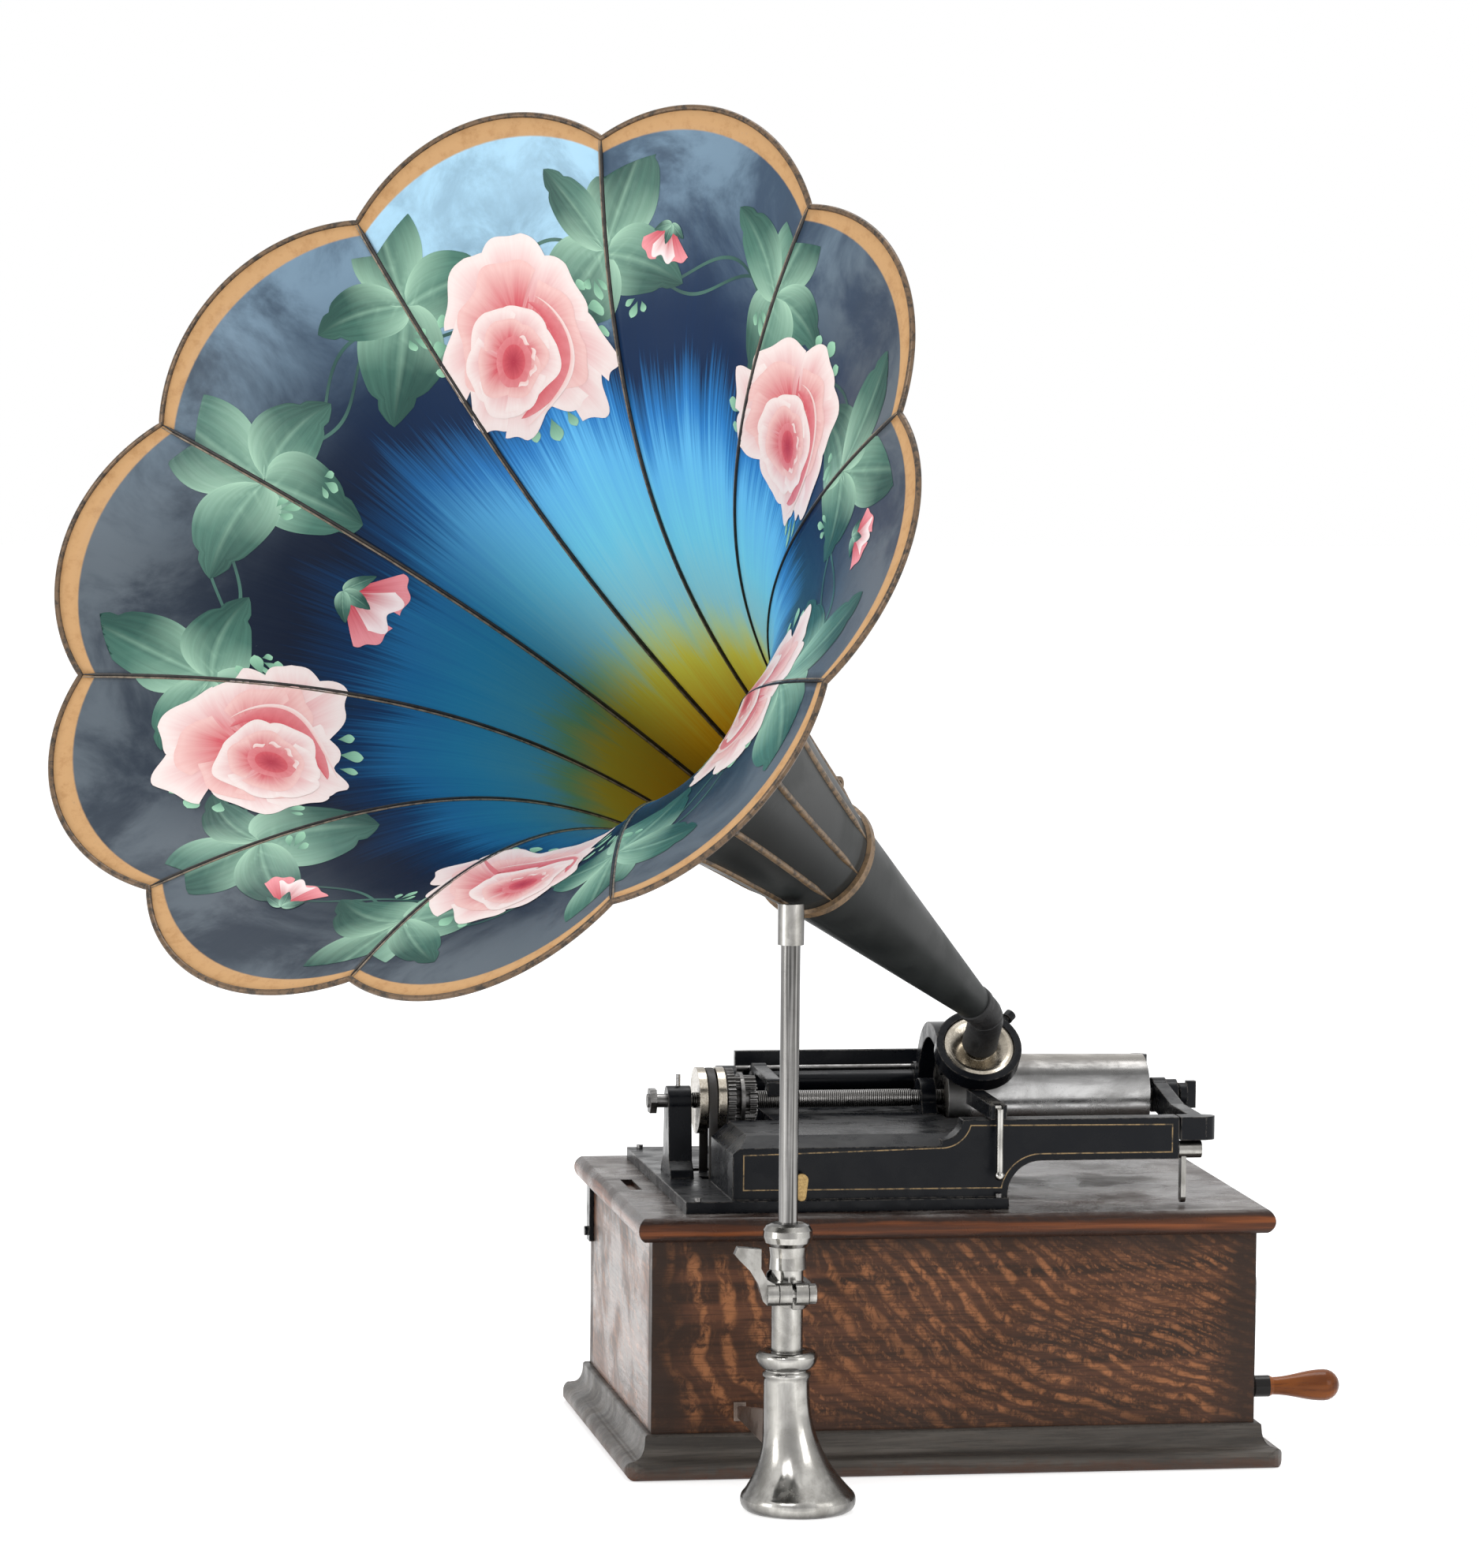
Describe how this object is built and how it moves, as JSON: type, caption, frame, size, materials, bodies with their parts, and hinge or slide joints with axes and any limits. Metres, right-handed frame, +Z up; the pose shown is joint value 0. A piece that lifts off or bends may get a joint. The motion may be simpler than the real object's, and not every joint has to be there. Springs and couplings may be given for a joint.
{
  "type": "cylinder phonograph",
  "caption": "Wind-up cylinder phonograph in a dark oak case, with an open mandrel mechanism, a side crank and a painted petal horn carried by a rod stand.",
  "frame": {"origin": "centre of the cabinet's underside, on the surface that it stands on", "axes": "+X to the right along the mandrel, towards the crank's side; +Y to the back; +Z up"},
  "size_m": [0.6802, 0.6793, 0.6757],
  "materials": {
    "oak_case": "dark quarter-sawn oak, worn varnish",
    "oak_board": "dark quarter-sawn oak, dulled top",
    "oak_base": "dark stained moulding",
    "black_enamel": "black enamel on cast iron, fine gold lines",
    "nickel": "worn nickel plate",
    "steel": "bright turned steel",
    "brass": "aged brass",
    "grip_wood": "varnished turned wood",
    "rubber": "black rubber hose",
    "belt_leather": "oiled leather belt",
    "horn_paint": "blue painted sheet with flowers, dark outside",
    "horn_black": "black-green japanned sheet",
    "horn_gold": "bronze paint"
  },
  "bodies": {
    "cabinet": {"case_front": "oak_case", "case_back": "oak_case", "case_left": "oak_case", "case_right": "oak_case", "bottom_board": "oak_base", "base_moulding": "oak_base", "top_board": "oak_board", "lid_hinges": "black_enamel", "lid_stay": "black_enamel", "crank_escutcheon": "brass", "bed_casting": "black_enamel", "bed_screws": "steel", "pivot_post": "black_enamel", "pivot_screw": "steel", "centre_bearing": "black_enamel", "back_rod": "steel", "rear_guard": "black_enamel", "rear_rail": "steel", "gate_hinge_pin": "black_enamel", "drive_belt": "belt_leather", "motor_plate_left": "steel", "motor_plate_right": "steel", "motor_pillars": "steel", "stand_foot": "nickel", "stand_strut": "nickel", "stand_sleeve": "nickel", "stand_clamp": "nickel", "stand_nut": "nickel"},
    "crank": {"winding_shaft": "steel", "crank_arm": "steel"},
    "grip": {"crank_grip": "grip_wood"},
    "arbor": {"barrel_arbor": "steel"},
    "barrel": {"spring_barrel": "brass", "mainspring": "steel"},
    "motor": {"motor_shaft": "steel", "motor_pulley": "steel"},
    "governor": {"governor": "brass"},
    "mandrel": {"main_shaft": "steel", "mandrel": "nickel", "mandrel_pulley": "nickel", "change_gear": "steel"},
    "carriage": {"carriage_bush": "brass"},
    "arm": {"carrier_arm": "black_enamel", "feed_nut_arm": "black_enamel", "reproducer": "nickel", "lock_screw": "black_enamel", "horn_elbow": "rubber"},
    "weight": {"stylus_weight": "nickel"},
    "lift_lever": {"lift_lever": "nickel"},
    "horn": {"horn_neck": "horn_black", "horn_ring": "horn_gold", "horn_bell": "horn_paint"},
    "gate": {"end_gate": "black_enamel", "gate_screw": "black_enamel"},
    "latch": {"gate_latch": "nickel"},
    "start_lever": {"start_lever": "brass"},
    "stand_rod": {"stand_rod": "nickel", "stand_saddle": "nickel"},
    "clamp_screw": {"clamp_screw": "nickel"}
  },
  "joints": [
    {"name": "crank_turn", "type": "hinge", "parent": "cabinet", "child": "crank", "pos_m": [0.16, -0.03, 0.08], "axis": [1, 0, 0], "continuous": true},
    {"name": "grip_spin", "type": "hinge", "parent": "crank", "child": "grip", "pos_m": [0.195, -0.03, 0.0265], "axis": [1, 0, 0], "continuous": true},
    {"name": "arbor_turn", "type": "hinge", "parent": "cabinet", "child": "arbor", "pos_m": [0, 0.03, 0.05846], "axis": [1, 0, 0], "continuous": true},
    {"name": "barrel_turn", "type": "hinge", "parent": "cabinet", "child": "barrel", "pos_m": [0, 0.03, 0.05846], "axis": [1, 0, 0], "continuous": true},
    {"name": "motor_turn", "type": "hinge", "parent": "cabinet", "child": "motor", "pos_m": [0, 0, 0.08492], "axis": [1, 0, 0], "continuous": true},
    {"name": "governor_turn", "type": "hinge", "parent": "cabinet", "child": "governor", "pos_m": [0, -0.027, 0.0955], "axis": [1, 0, 0], "continuous": true},
    {"name": "mandrel_turn", "type": "hinge", "parent": "cabinet", "child": "mandrel", "pos_m": [0, 0, 0.175], "axis": [1, 0, 0], "continuous": true},
    {"name": "carriage_slide", "type": "slide", "parent": "cabinet", "child": "carriage", "axis": [1, 0, 0], "range_m": [0, 0.07]},
    {"name": "carriage_lift", "type": "hinge", "parent": "carriage", "child": "arm", "pos_m": [0, 0.045, 0.1785], "axis": [-1, 0, 0], "range_deg": [0, 4], "deforming": ["horn_elbow"]},
    {"name": "weight_float", "type": "hinge", "parent": "arm", "child": "weight", "pos_m": [0.025, -0.0146, 0.2076], "axis": [1, 0, 0], "range_deg": [-3, 0]},
    {"name": "lift_lever_turn", "type": "hinge", "parent": "arm", "child": "lift_lever", "pos_m": [0.022, -0.098, 0.181], "axis": [-1, 0, 0], "range_deg": [0, 76]},
    {"name": "horn_swing", "type": "hinge", "parent": "carriage", "child": "horn", "pos_m": [0.025, -0.05425, 0.22385], "axis": [0, 0, 1], "range_deg": [-13, 0]},
    {"name": "gate_swing", "type": "hinge", "parent": "cabinet", "child": "gate", "pos_m": [0.13, 0.064, 0.17], "axis": [0, 0, 1], "range_deg": [0, 100]},
    {"name": "latch_turn", "type": "hinge", "parent": "cabinet", "child": "latch", "pos_m": [0.12, -0.09, 0.159], "axis": [-1, 0, 0], "range_deg": [0, 100]},
    {"name": "start_lever_swing", "type": "hinge", "parent": "cabinet", "child": "start_lever", "pos_m": [-0.0785, -0.1, 0.1398], "axis": [0, 1, 0], "range_deg": [-25, 25]},
    {"name": "rod_slide", "type": "slide", "parent": "cabinet", "child": "stand_rod", "axis": [0, 0, 1], "range_m": [-0.055, 0]},
    {"name": "clamp_turn", "type": "hinge", "parent": "cabinet", "child": "clamp_screw", "pos_m": [-0.102, -0.217, 0.109], "axis": [1, 0, 0], "range_deg": [-120, 120]}
  ],
  "couplings": [
    {"joint": "arbor_turn", "follows": "crank_turn", "ratio": -0.66667},
    {"joint": "motor_turn", "follows": "barrel_turn", "ratio": -4},
    {"joint": "mandrel_turn", "follows": "barrel_turn", "ratio": -4},
    {"joint": "governor_turn", "follows": "barrel_turn", "ratio": 19.2},
    {"joint": "lift_lever_turn", "follows": "carriage_lift", "ratio": 18.75},
    {"joint": "horn_swing", "follows": "carriage_slide", "rad_per_m": -3.104}
  ]
}
